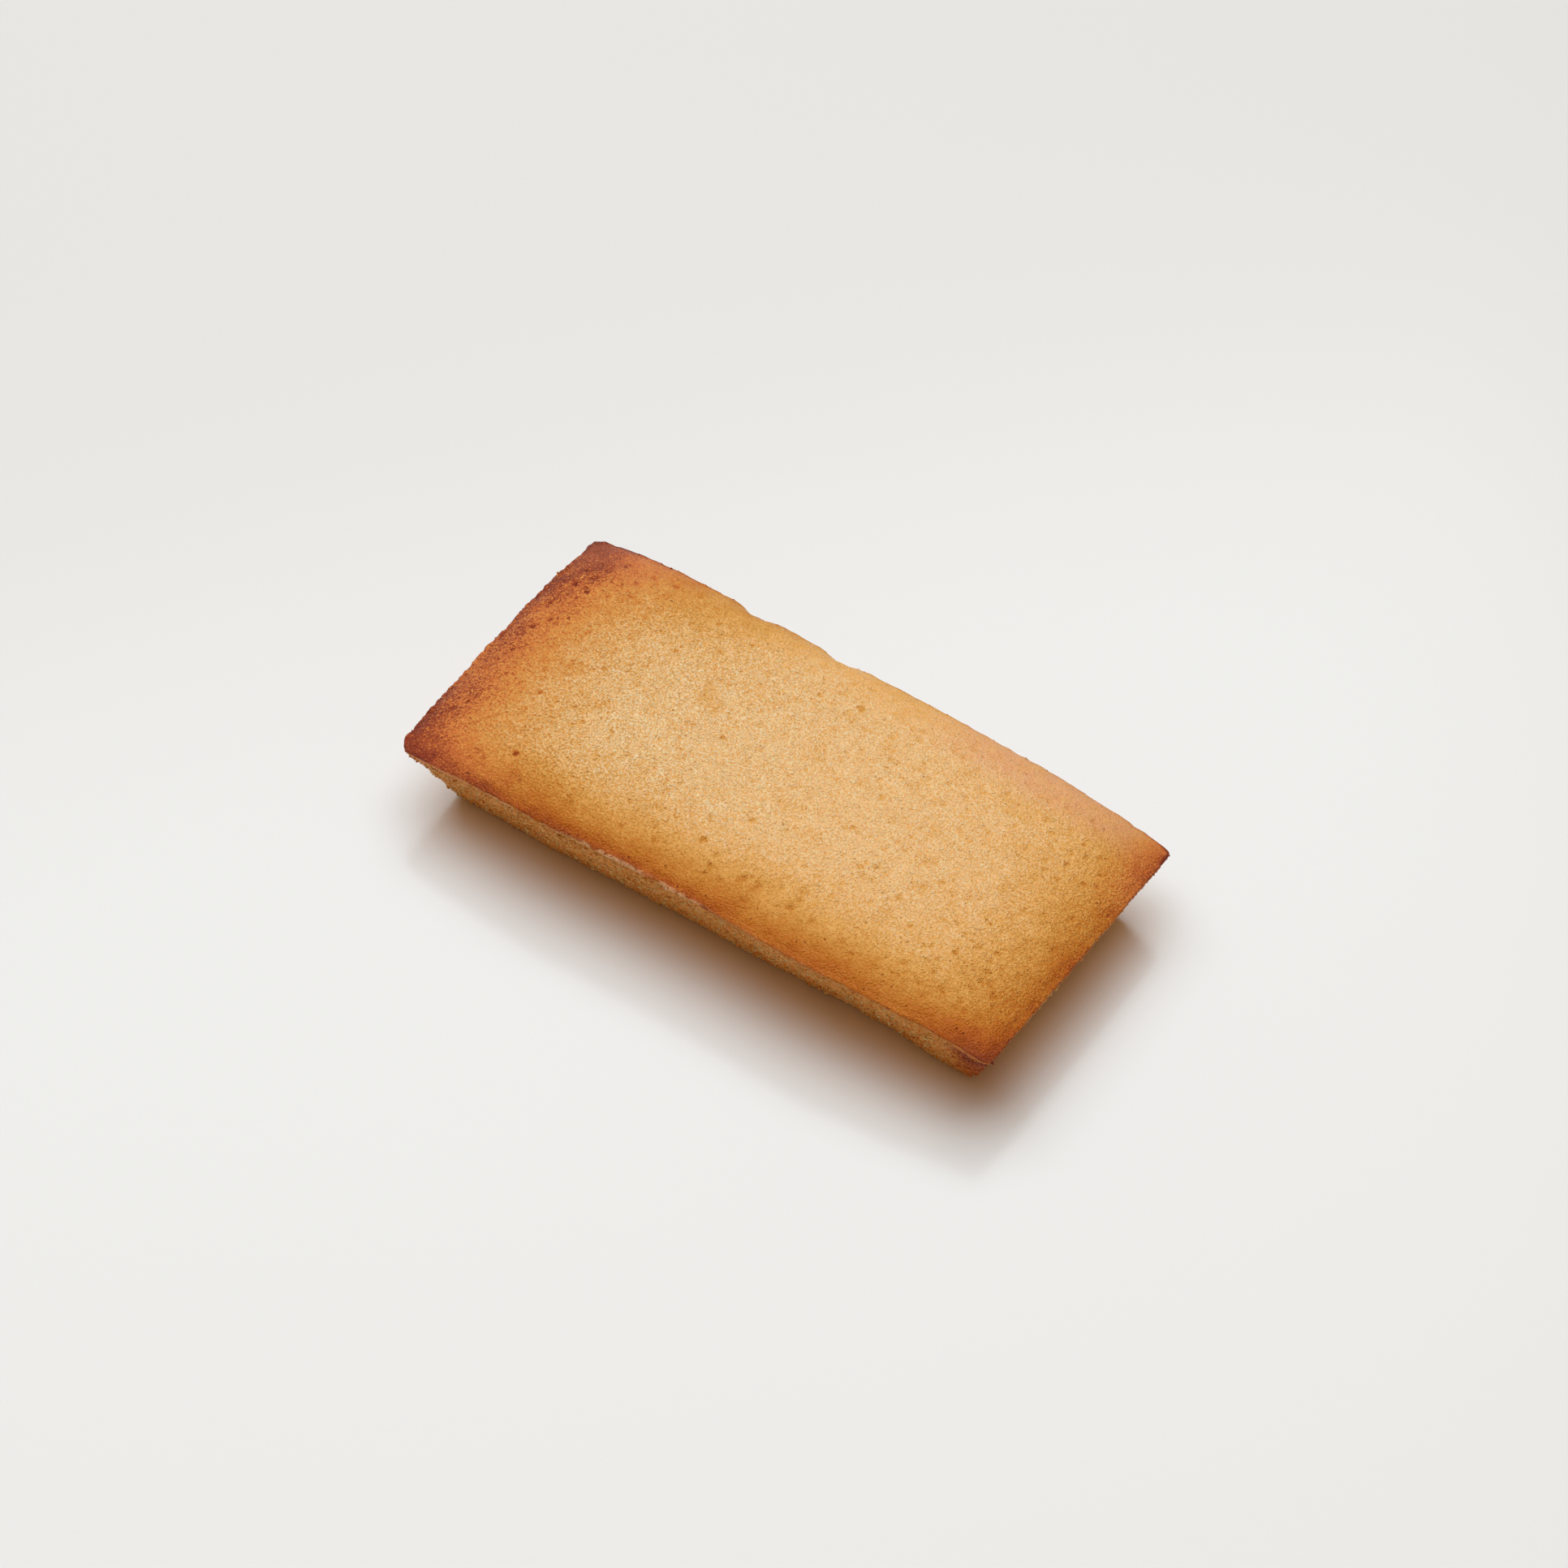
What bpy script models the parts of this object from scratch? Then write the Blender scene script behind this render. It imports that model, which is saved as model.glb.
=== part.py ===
"""Financier: a small almond cake baked in a shallow tapered tin, in one solid piece.

The cake stands on its flat foot, with its long axis on X, its short axis on Y and +Z up.
Its walls lean outwards as the tin's did. The batter climbed them most along the middle of
each side, so the rim arches from corner to corner. The crust inside the rim swells into a
low crown, and it is pitted where bubbles burst.
All lengths are in metres.
"""

import math
import random

import bmesh
import bpy
from mathutils import Vector, noise

MM = 0.001

# The foot, and how far the walls lean outwards for each unit upwards
FOOT_LENGTH = 74.3 * MM
FOOT_WIDTH = 30.9 * MM
END_LEAN = 0.45
SIDE_LEAN = 0.50
FOOT_ROUND = 1.5 * MM            # radius where foot and wall meet

# The four corners, each named by its signs on X and Y
CORNER_HEIGHT = {(-1, -1): 10.3 * MM, (-1, 1): 11.2 * MM, (1, -1): 10.6 * MM, (1, 1): 9.4 * MM}
CORNER_RADIUS = {(-1, -1): 1.4 * MM, (-1, 1): 1.4 * MM, (1, -1): 0.8 * MM, (1, 1): 0.6 * MM}

# How far the rim arches above its corners in the middle of each side
ARCH_FRONT = 2.0 * MM            # the side towards -Y
ARCH_BACK = 1.4 * MM             # the side towards +Y
ARCH_LEFT = 0.8 * MM             # the end towards -X
ARCH_RIGHT = 0.4 * MM            # the end towards +X
ARCH_POWER = 3.8                 # higher is flatter along the side, and steeper at the corners

# The thin lip of crust that crept up the tin above the crumb of the wall
LIP_DEPTH = 1.0 * MM
LIP_PROUD = 0.24 * MM
LIP_STRAIGHTEN = 0.6             # the lip leans this share as much as the wall below it
LIP_CURL = 0.75                  # share of a half turn that the lip's section goes through
LIP_BREAK_FADE = 28              # higher keeps a tear closer to the rim
LIP_BREAKS = (                   # place on X, half width and depth of each tear, on the back side
    (-18.6 * MM, 1.6 * MM, 0.75 * MM),
    (-6.2 * MM, 2.0 * MM, 0.50 * MM),
)

# Swells (+) and hollows (-) of the front and back walls
WALL_SWELLS = (                  # side on Y, place on X, half width, push at the foot, push at the rim
    (-1, -24.0 * MM, 8.0 * MM, 0.25 * MM, 0.00 * MM),
    (-1, -6.0 * MM, 7.0 * MM, -0.18 * MM, -0.28 * MM),
    (-1, 17.5 * MM, 8.0 * MM, -0.45 * MM, 0.30 * MM),
    (-1, 36.0 * MM, 5.5 * MM, 0.60 * MM, -0.25 * MM),
    (1, -13.0 * MM, 7.0 * MM, 0.00 * MM, -0.18 * MM),
    (1, -33.0 * MM, 5.0 * MM, 0.00 * MM, 0.15 * MM),
)

# The top crust: it rolls up from the rim and swells to the middle
EDGE_ROLL = 1.25 * MM
ROLL_REACH_SIDE = 2.2 * MM
ROLL_REACH_END = 3.0 * MM
CROWN_HEIGHT = 0.9 * MM

# Unevenness of the baked crumb, finer and rougher on the walls than on the crust
SWELL_SIZE = 13.0 * MM
SWELL_HEIGHT = 0.20 * MM
CRAG_SIZE = 2.9 * MM
CRUST_CRAG_HEIGHT = 0.07 * MM
WALL_CRAG_HEIGHT = 0.17 * MM
CRAG_OFFSET = Vector((31.0, 7.0, 3.0))
SETTLED_HEIGHT = 2.0 * MM        # below this the unevenness fades out, so that the foot is flat

# Burst bubbles: the large ones by place on X and Y and radius, the small ones scattered among them
LARGE_PITS = (
    (0.9 * MM, 14.3 * MM, 0.60 * MM),
    (0.8 * MM, -8.7 * MM, 0.56 * MM),
    (-2.2 * MM, -14.3 * MM, 0.60 * MM),
    (11.2 * MM, -2.7 * MM, 0.46 * MM),
    (15.1 * MM, -7.3 * MM, 0.52 * MM),
    (24.0 * MM, -3.4 * MM, 0.42 * MM),
    (24.6 * MM, -11.2 * MM, 0.44 * MM),
    (34.0 * MM, 6.0 * MM, 0.50 * MM),
    (30.9 * MM, -11.2 * MM, 0.54 * MM),
    (-28.0 * MM, -15.8 * MM, 0.58 * MM),
    (-24.3 * MM, -7.7 * MM, 0.50 * MM),
    (-27.1 * MM, 0.8 * MM, 0.46 * MM),
    (-9.2 * MM, -0.2 * MM, 0.44 * MM),
    (-36.7 * MM, 10.7 * MM, 0.44 * MM),
)
SMALL_PIT_COUNT = 18
SMALL_PIT_RADIUS = (0.28 * MM, 0.40 * MM)
SMALL_PIT_AREA = (36.0 * MM, 16.0 * MM)    # half sizes on X and Y
PIT_SPACING = 3.5 * MM           # no two pits are closer than this
PIT_SEED = 5
PIT_RAGGEDNESS = 0.22            # share by which the outline of a pit strays from a circle
PIT_STEEPNESS = 0.42             # depth of a pit for each unit of its radius
PIT_WALL = 0.40                  # share of the radius taken by the pit's steep wall
PIT_FLOOR = 0.75                 # share of the depth already reached at the foot of that wall
PIT_PULL = 2.5 * MM              # reach of the crust that is drawn over with a pit's middle

# The mesh
CELLS_LONG = 76
CELLS_WIDE = 38
ARC_RINGS = 2
WALL_RINGS = 5
LIP_RINGS = 2
CELLS_HIGH = ARC_RINGS + WALL_RINGS + LIP_RINGS
EDGE_CROWDING = 0.70             # 0 spaces the cells evenly, 1 draws them right up to the rim


def clear_scene():
    for old in list(bpy.data.objects):
        bpy.data.objects.remove(old, do_unlink=True)


def crowded(share):
    """Even steps from -1 to 1, drawn closer together near both ends."""
    turn = 0.5 * math.pi * EDGE_CROWDING
    return math.sin(turn * share) / math.sin(turn)


def bell(distance, half_width):
    """1 in the middle, falling smoothly to almost nothing at twice the half width."""
    return math.exp(-((distance / half_width) ** 2))


def blend(low, high, share):
    """From low at share -1 to high at share 1."""
    return low + (high - low) * 0.5 * (1 + share)


def lip_break(along, across):
    """How much of the lip is gone at this place, all at the back rim and fading out just inside it."""
    x = along * (0.5 * FOOT_LENGTH + END_LEAN * rim_height(along, across))
    gone = sum(depth * bell(x - place, width) for place, width, depth in LIP_BREAKS)
    return gone * max(0.0, across) ** LIP_BREAK_FADE


def rim_height(along, across):
    """Height of the rim above the foot, arched along each side, and carried inwards over the top."""
    front = blend(CORNER_HEIGHT[-1, -1], CORNER_HEIGHT[1, -1], along)
    back = blend(CORNER_HEIGHT[-1, 1], CORNER_HEIGHT[1, 1], along)
    side_arch = blend(ARCH_FRONT, ARCH_BACK, across) * (1 - abs(along) ** ARCH_POWER)
    end_arch = blend(ARCH_LEFT, ARCH_RIGHT, along) * (1 - abs(across) ** ARCH_POWER)
    return blend(front, back, across) + side_arch + end_arch


def wall_ring(level, rim, lean):
    """(height, outset from the sharp foot edge) of a ring of the wall, up to the lip's crest."""
    lean_angle = math.atan(lean)
    arc_top = FOOT_ROUND * (1 - math.sin(lean_angle))
    if level <= ARC_RINGS:
        centre = lean * arc_top - FOOT_ROUND * math.cos(lean_angle)
        angle = (0.5 * math.pi - lean_angle) * level / ARC_RINGS - 0.5 * math.pi
        return FOOT_ROUND * (1 + math.sin(angle)), centre + FOOT_ROUND * math.cos(angle)
    lip_foot = rim - LIP_DEPTH
    if level <= ARC_RINGS + WALL_RINGS:
        height = arc_top + (lip_foot - arc_top) * (level - ARC_RINGS) / WALL_RINGS
        return height, lean * height
    share = (level - ARC_RINGS - WALL_RINGS) / LIP_RINGS
    proud = LIP_PROUD * math.sin(LIP_CURL * math.pi * share)
    return lip_foot + LIP_DEPTH * share, lean * (lip_foot + LIP_DEPTH * share * LIP_STRAIGHTEN) + proud


def wall_push(x, across, height, rim):
    """How far the front or back wall swells out here, and a little of it on the crust inside."""
    up = min(1.0, height / rim)
    push = 0.0
    for side, place, width, at_foot, at_rim in WALL_SWELLS:
        nearness = max(0.0, side * across) ** 4
        push += side * nearness * bell(x - place, width) * (at_foot + (at_rim - at_foot) * up)
    return push


def rounded(x, y, half_x, half_y):
    """Bends a point of a sharp rectangle into one with a quarter-round corner."""
    side_x, side_y = (1 if x > 0 else -1), (1 if y > 0 else -1)
    radius = CORNER_RADIUS[side_x, side_y]
    p = (abs(x) - (half_x - radius)) / radius
    q = (abs(y) - (half_y - radius)) / radius
    if p <= 0 or q <= 0:
        return x, y
    bent_x = half_x - radius + radius * p * math.sqrt(1 - 0.5 * q * q)
    bent_y = half_y - radius + radius * q * math.sqrt(1 - 0.5 * p * p)
    return side_x * bent_x, side_y * bent_y


def crust_height(along, across, x, y, half_x, half_y):
    """Height of the top crust: the rim carried inwards, the roll up from the edge, and the crown."""
    roll_end = 1 - math.exp(-(half_x - abs(x)) / ROLL_REACH_END)
    roll_side = 1 - math.exp(-(half_y - abs(y)) / ROLL_REACH_SIDE)
    crown = CROWN_HEIGHT * (1 - along ** 4) * (1 - across ** 2)
    return rim_height(along, across) + EDGE_ROLL * roll_end * roll_side + crown


def form_point(along, across, level, on_top):
    """The cake's own place for a point of the block, given by its shares along, across and up."""
    torn = lip_break(along, across) if level > ARC_RINGS + WALL_RINGS else 0.0
    rim = rim_height(along, across)
    height, end_outset = wall_ring(level, rim, END_LEAN)
    side_outset = wall_ring(level, rim, SIDE_LEAN)[1] - torn
    half_x = 0.5 * FOOT_LENGTH + end_outset
    half_y = 0.5 * FOOT_WIDTH + side_outset
    x, y = along * half_x, across * half_y
    if on_top:
        height = crust_height(along, across, x, y, half_x, half_y)
    x, y = rounded(x, y, half_x, half_y)
    return Vector((x, y + wall_push(x, across, height, rim), height - torn))


def roughened(place, normal):
    """Pushes a point in or out by slow swells and small crags, and leaves the foot flat."""
    upward = max(0.0, normal.z)
    crag_height = CRUST_CRAG_HEIGHT * upward + WALL_CRAG_HEIGHT * (1 - upward)
    swell = SWELL_HEIGHT * noise.noise(place / SWELL_SIZE)
    crag = crag_height * noise.noise(place / CRAG_SIZE + CRAG_OFFSET)
    push = normal * (swell + crag)
    push.z *= min(1.0, place.z / SETTLED_HEIGHT)
    return place + push


def block_mesh():
    """A cube cut into cells, each face an even grid, with its points as shares from -1 to 1."""
    work = bmesh.new()
    bmesh.ops.create_cube(work, size=2.0)
    for axis, cells in enumerate((CELLS_LONG, CELLS_WIDE, CELLS_HIGH)):
        for cut in range(1, cells):
            plane, direction = Vector((0, 0, 0)), Vector((0, 0, 0))
            plane[axis] = -1.0 + 2.0 * cut / cells
            direction[axis] = 1.0
            everything = work.verts[:] + work.edges[:] + work.faces[:]
            bmesh.ops.bisect_plane(work, geom=everything, plane_co=plane, plane_no=direction, dist=1e-6)
    return work


def pit_places(draw):
    """The large pits, and small ones drawn at random where there is room for them."""
    pits = list(LARGE_PITS)
    half_x, half_y = SMALL_PIT_AREA
    while len(pits) < len(LARGE_PITS) + SMALL_PIT_COUNT:
        x, y = draw.uniform(-half_x, half_x), draw.uniform(-half_y, half_y)
        if all(math.hypot(x - pit[0], y - pit[1]) > PIT_SPACING for pit in pits):
            pits.append((x, y, draw.uniform(*SMALL_PIT_RADIUS)))
    return pits


def sink_pits(work, crust):
    """Draws the grid over to each pit, bevels its middle point into a ring and sinks what is inside."""
    draw = random.Random(PIT_SEED)
    for x, y, radius in pit_places(draw):
        place = Vector((x, y, 0))
        vert = min(crust, key=lambda v: (v.co - place).xy.length)
        start = vert.co.copy()
        shift = (place - start).xy.to_3d()
        for near in crust:
            near.co += shift * bell((near.co - start).xy.length, PIT_PULL)
        crust.remove(vert)
        top, normal = vert.co.copy(), vert.normal.copy()
        made = bmesh.ops.bevel(
            work, geom=[vert], affect="VERTICES", offset=radius, offset_type="OFFSET",
            segments=2, profile=0.5, material=-1, clamp_overlap=True,
        )
        middle = min(made["verts"], key=lambda v: (v.co - top).length)
        for corner in made["verts"]:
            if corner is not middle:
                outwards = (corner.co - top).xy.normalized()
                slope = -(normal.x * outwards.x + normal.y * outwards.y) / normal.z
                reach = radius * draw.uniform(1 - PIT_RAGGEDNESS, 1 + PIT_RAGGEDNESS)
                corner.co = top + reach * Vector((outwards.x, outwards.y, slope))
        bmesh.ops.inset_region(work, faces=made["faces"], thickness=PIT_WALL * radius, depth=0.0)
        inside = {v for f in middle.link_faces for v in f.verts} - {middle}
        for corner in inside:
            corner.co.z -= PIT_FLOOR * PIT_STEEPNESS * radius
        middle.co.z -= PIT_STEEPNESS * radius


def centre_on_foot(work):
    """Moves the cake so that the middle of its plan is at the origin."""
    for axis in (0, 1):
        values = [v.co[axis] for v in work.verts]
        middle = 0.5 * (min(values) + max(values))
        for vert in work.verts:
            vert.co[axis] -= middle


def financier():
    work = block_mesh()
    crust = []
    for vert in work.verts:
        share = vert.co.copy()
        along, across = crowded(share.x), crowded(share.y)
        level = round(0.5 * (share.z + 1) * CELLS_HIGH)
        on_top = level == CELLS_HIGH
        vert.co = form_point(along, across, level, on_top)
        if on_top and max(abs(share.x), abs(share.y)) < 1 - 1e-4:
            crust.append(vert)
    work.normal_update()
    places = [roughened(v.co, v.normal) for v in work.verts]
    for vert, place in zip(work.verts, places):
        vert.co = place
    foot = [f for f in work.faces if all(v.co.z < 1e-6 for v in f.verts)]
    bmesh.ops.dissolve_faces(work, faces=foot)
    sink_pits(work, crust)
    centre_on_foot(work)
    bmesh.ops.recalc_face_normals(work, faces=work.faces[:])
    mesh = bpy.data.meshes.new("financier")
    work.to_mesh(mesh)
    work.free()
    mesh.shade_smooth()
    cake = bpy.data.objects.new("financier", mesh)
    bpy.context.scene.collection.objects.link(cake)
    return cake


def baked_crust():
    """Golden baked almond crumb: matt, with a faint butter sheen."""
    material = bpy.data.materials.new("baked_crust")
    material.use_nodes = True
    shader = material.node_tree.nodes["Principled BSDF"]
    shader.inputs["Base Color"].default_value = (0.68, 0.36, 0.12, 1.0)
    shader.inputs["Roughness"].default_value = 0.62
    shader.inputs["Metallic"].default_value = 0.0
    return material


clear_scene()
cake = financier()
cake.data.materials.append(baked_crust())
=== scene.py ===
# %% [markdown]
# # A financier in Blender
#
# A financier is a small almond cake baked in a shallow tin with leaning walls. Its shape is
# simple, so nearly all of its looks are in the skin: a matt golden crust full of tiny bubbles, an
# edge that browned against the metal, and a pale, crumbly wall under a thin lip of crust.
#
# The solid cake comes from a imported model, which stays as it is. This lesson copies it, gives the
# copy a finer skin and a procedural crust, adds the crumbs that cling to it, and lights it softly.

# %% Load the solid cake
import math
import random

import bmesh
import bpy
from mathutils import Matrix, Vector, kdtree, noise


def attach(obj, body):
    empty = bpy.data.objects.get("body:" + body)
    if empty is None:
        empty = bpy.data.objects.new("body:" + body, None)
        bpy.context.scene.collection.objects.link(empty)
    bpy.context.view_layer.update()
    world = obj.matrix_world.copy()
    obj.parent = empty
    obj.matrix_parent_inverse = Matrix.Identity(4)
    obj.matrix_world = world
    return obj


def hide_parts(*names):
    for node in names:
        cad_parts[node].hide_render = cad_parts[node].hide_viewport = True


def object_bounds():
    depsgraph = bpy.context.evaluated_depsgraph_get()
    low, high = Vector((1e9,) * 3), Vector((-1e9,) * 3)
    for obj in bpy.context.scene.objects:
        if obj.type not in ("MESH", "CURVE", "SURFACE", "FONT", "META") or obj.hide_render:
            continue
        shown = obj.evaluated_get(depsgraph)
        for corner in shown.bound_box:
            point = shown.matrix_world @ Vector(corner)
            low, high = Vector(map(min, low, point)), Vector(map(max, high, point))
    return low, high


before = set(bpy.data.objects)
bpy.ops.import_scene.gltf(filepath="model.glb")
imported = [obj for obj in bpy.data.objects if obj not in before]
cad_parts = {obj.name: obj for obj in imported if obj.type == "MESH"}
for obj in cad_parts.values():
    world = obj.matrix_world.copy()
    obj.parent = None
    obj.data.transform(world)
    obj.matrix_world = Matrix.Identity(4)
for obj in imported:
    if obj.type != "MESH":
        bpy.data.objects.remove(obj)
solid_low, solid_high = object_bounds()
MM = 0.001
print("solid cake, mm:", [round((high - low) / MM, 2) for low, high in zip(solid_low, solid_high)])

# %% [markdown]
# ## A finer skin
#
# The solid is made of about eleven thousand triangles, with cells a millimetre across, and the
# crumb of the real cake is a third of that. A sculpt or a dense remesh would give it, but both lose
# the thin lip round the rim. Merging the copy's loose triangles and pairing them into quads keeps
# every form of the solid, and a subdivision surface then makes the cells four times finer.
#
# Each face is marked as crust or wall first, by how far it faces up. The subdivision carries that
# mark along, so the crest of the rim can still be found afterwards.

# %% Copy the solid and turn it back into quads
PAIRING_ANGLE = math.radians(120)    # two triangles folded less than this make one quad
FOOT_LEVEL = 0.001 * MM
MERGE_DISTANCE = 0.002 * MM
CRUST_SLOPE = 0.35                   # a face whose normal points up more than this is crust
CREST_CREASE = 0.6


def quads_of_solid(name):
    """The solid's mesh as a bmesh, with its points merged and its triangles paired, but for the foot."""
    work = bmesh.new()
    work.from_mesh(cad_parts[name].data)
    bmesh.ops.remove_doubles(work, verts=work.verts[:], dist=MERGE_DISTANCE)
    upper = [f for f in work.faces if max(v.co.z for v in f.verts) > FOOT_LEVEL]
    bmesh.ops.join_triangles(
        work, faces=upper, angle_face_threshold=PAIRING_ANGLE, angle_shape_threshold=PAIRING_ANGLE
    )
    return work


def mark_crust(work):
    """Marks each crust face, and creases the crest where crust and wall meet."""
    on_crust = work.faces.layers.int.new("on_crust")
    crease = work.edges.layers.float.new("crease_edge")
    work.normal_update()
    for face in work.faces:
        face[on_crust] = face.normal.z > CRUST_SLOPE
    for edge in work.edges:
        if len({face[on_crust] for face in edge.link_faces}) == 2:
            edge[crease] = CREST_CREASE


coarse = quads_of_solid("financier")
mark_crust(coarse)
print("faces:", len(coarse.faces), "of them quads:", sum(len(f.verts) == 4 for f in coarse.faces))

# %% [markdown]
# ## Where the bubbles burst
#
# The floor of a burst bubble is browner than the crust around it, partly its own amber and partly
# shade painted into the hollow, so the colour has to know where the pits are. Ironing a copy of the
# mesh flat and seeing how far each point rose finds every hollow of the solid, wherever it is.

# %% Find the hollows
IRONING_ROUNDS = 6
FULL_HOLLOW = 0.06 * MM              # a point that rises this much lies at the bottom of a pit


def mark_hollows(work):
    """Writes how hollow the skin is at each point, from 0 to 1."""
    hollow = work.verts.layers.float.new("hollow")
    ironed = work.copy()
    for _ in range(IRONING_ROUNDS):
        bmesh.ops.smooth_vert(
            ironed, verts=ironed.verts[:], factor=0.5, use_axis_x=True, use_axis_y=True, use_axis_z=True
        )
    on_crust = work.faces.layers.int["on_crust"]
    for vert, flat in zip(work.verts, ironed.verts):
        if all(face[on_crust] for face in vert.link_faces):
            vert[hollow] = min(1.0, max(0.0, (flat.co.z - vert.co.z) / FULL_HOLLOW))
    ironed.free()
    return sum(vert[hollow] > 0.5 for vert in work.verts)


print("points in pits:", mark_hollows(coarse))

# %% [markdown]
# ## Subdividing
#
# bmesh can cut edges but has no smooth subdivision of its own. So the mesh goes through a
# Subdivision Surface modifier on an object that is thrown away, and comes back as a finer bmesh.

# %% Subdivide the skin
SKIN_LEVELS = 2


def subdivided(work, levels):
    """A finer bmesh of the same skin. The coarse one is freed."""
    mesh = bpy.data.meshes.new("coarse")
    work.to_mesh(mesh)
    work.free()
    holder = bpy.data.objects.new("coarse", mesh)
    bpy.context.scene.collection.objects.link(holder)
    finer = holder.modifiers.new("finer", "SUBSURF")
    finer.levels = finer.render_levels = levels
    evaluated = holder.evaluated_get(bpy.context.evaluated_depsgraph_get())
    fine = bmesh.new()
    fine.from_mesh(evaluated.to_mesh())
    evaluated.to_mesh_clear()
    bpy.data.objects.remove(holder)
    return fine


skin = subdivided(coarse, SKIN_LEVELS)
print("skin:", len(skin.verts), "points,", 2 * len(skin.faces), "triangles")

# %% [markdown]
# ## Where on the cake is a point?
#
# The browning, the lip and the crumb all depend on how far a point is from the rim, and on which
# side of it. Painting weights by hand would be lost at the next change of the solid. Measuring the
# distance to the nearest point of the crest is quick with a k-d tree, and always fits.

# %% Measure the distance to the rim
def crest_points(work):
    """Points along the crest: one end and the middle of every edge between crust and wall."""
    on_crust = work.faces.layers.int["on_crust"]
    points = []
    for edge in work.edges:
        if len({face[on_crust] for face in edge.link_faces}) == 2:
            first, second = (v.co for v in edge.verts)
            points += [first.copy(), 0.5 * (first + second)]
    return points


def tree_of(points):
    """A k-d tree that finds the nearest of the points."""
    tree = kdtree.KDTree(len(points))
    for index, point in enumerate(points):
        tree.insert(point, index)
    tree.balance()
    return tree


crest = crest_points(skin)
crest_tree = tree_of(crest)
on_crust = skin.faces.layers.int["on_crust"]
rim_layer = skin.verts.layers.float.new("rim")           # mm from the crest, below 0 on the wall
for vert in skin.verts:
    side = 1 if any(face[on_crust] for face in vert.link_faces) else -1
    vert[rim_layer] = side * crest_tree.find(vert.co)[2] / MM
print("crest points:", len(crest), "widest crust, mm:", round(max(v[rim_layer] for v in skin.verts), 1))

# %% [markdown]
# ## Crumb and crust in relief
#
# The crust is a skin over bubbles: low hills two or three millimetres apart, a finer pebbling on
# them, and many small round dimples where a bubble sank without bursting. They crowd together in
# some places and are rare in others, so the cells of a Voronoi pattern place them, and slow noise
# says how large they are. The wall is torn crumb, rougher and more jagged, and along the rim runs
# a thin ridge where the crust dried on the metal. Bump mapping alone would leave the outline
# smooth, so all of this down to half a millimetre moves the mesh, and only the finest grain is
# left to the material.

# %% Tools for uneven things
def wave(place, size, shift):
    """Smooth noise from about -1 to 1, with hills about as wide as the size."""
    return noise.noise(place / size + Vector((shift, 2 * shift, 3 * shift)))


def smooth(low, high, value):
    """0 below low, 1 above high, and an even curve between. With low above high it runs the other way."""
    share = min(1.0, max(0.0, (value - low) / (high - low)))
    return share * share * (3 - 2 * share)


def bell(distance, half_width):
    """1 in the middle of a band, a third at its half width, and fading out on both sides."""
    return math.exp(-((distance / half_width) ** 2))


def on_plan(place):
    """Where a place lies seen from above, in mm to the right of the middle and behind it."""
    return place.x / MM, place.y / MM


# %% Where the lip's highlight is painted
FRONT_RIM = (-17, -20)               # mm along y, over which the crust turns into the front rim
STRETCH_STARTS = (-31, -26)          # mm along x, over which most of the highlit stretch comes in,
STRETCH_GROWS = (-20, -15)           # the rest of it comes in,
STRETCH_THINS = (1, 6)               # most of it goes,
STRETCH_ENDS = (18, 26)              # and the last of it goes


def highlit_stretch(place):
    """1 along the stretch of the front rim where the lip gets a painted highlight and a taller ridge,
    fading out at both ends.
    """
    x, y = on_plan(place)
    rising = 0.7 * smooth(*STRETCH_STARTS, x) + 0.3 * smooth(*STRETCH_GROWS, x)
    fading = 1 - 0.85 * smooth(*STRETCH_THINS, x) - 0.15 * smooth(*STRETCH_ENDS, x)
    return smooth(*FRONT_RIM, y) * rising * fading


# %% Sink the dimples
DIMPLE_SPACING = 1.35 * MM
DIMPLE_RADIUS = 0.60 * MM            # of the largest
SMALLEST_DIMPLE = 0.2 * MM
FLAT_FLOOR = 0.35                    # of its radius
DIMPLE_CLUSTER = 9.0 * MM
CLUSTERING = 0.4                     # how much the clusters count for a dimple's size,
RIGHTWARD = 0.15                     # and how much its lying on the right half does
RIGHT_HALF = (-16, 6)                # mm along x, over which that half comes in
DIMPLE_GROWS = (-0.25, 0.35)         # the sum of it all, from no dimple to the largest


def dimple(place):
    """How deep in a dimple the place is, from 0 to 1: round ones of all sizes, in ragged clusters."""
    distances, centres = noise.voronoi(place / DIMPLE_SPACING)
    clustered = CLUSTERING * wave(place, DIMPLE_CLUSTER, 12.0)
    clustered += RIGHTWARD * smooth(*RIGHT_HALF, place.x / MM)
    radius = DIMPLE_RADIUS * smooth(*DIMPLE_GROWS, noise.noise(centres[0] * 3.7) + clustered)
    if radius < SMALLEST_DIMPLE:
        return 0.0
    return smooth(radius, FLAT_FLOOR * radius, distances[0] * DIMPLE_SPACING)


# %% Shape the relief
HILL_SIZE = 2.6 * MM
HILL_HEIGHT = 0.10 * MM
PEBBLE_SIZE = 1.0 * MM
PEBBLE_HEIGHT = 0.07 * MM
DIMPLE_DEPTH = 0.20 * MM
DIMPLES_START = (1.5, 4.0)           # mm in from the crest, over which they reach their full depth
CRAG_SIZE = 1.3 * MM
CRAG_HEIGHT = 0.16 * MM
CRUMB_SIZE = 0.6 * MM
CRUMB_HEIGHT = 0.14 * MM
LIP_TO_WALL = (0.6, 1.3)             # mm below the crest, over which the lip turns into the wall
RIDGE_PLACE = -0.15                  # mm from the crest: just below it, on the lip
RIDGE_WIDTH = 0.32
RIDGE_HEIGHT = 0.17 * MM
GROOVE_PLACE = 0.75                  # mm from the crest: above it, on the crust
GROOVE_DEPTH = 0.06 * MM
DRY_END = (-36, -41)                 # mm along x: the left end is the driest and most ragged
TOOTH_SIZE = 0.7 * MM
TOOTH_HEIGHT = 0.20 * MM             # crags on the edge of that end
TOOTH_WIDTH = 0.7
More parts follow.
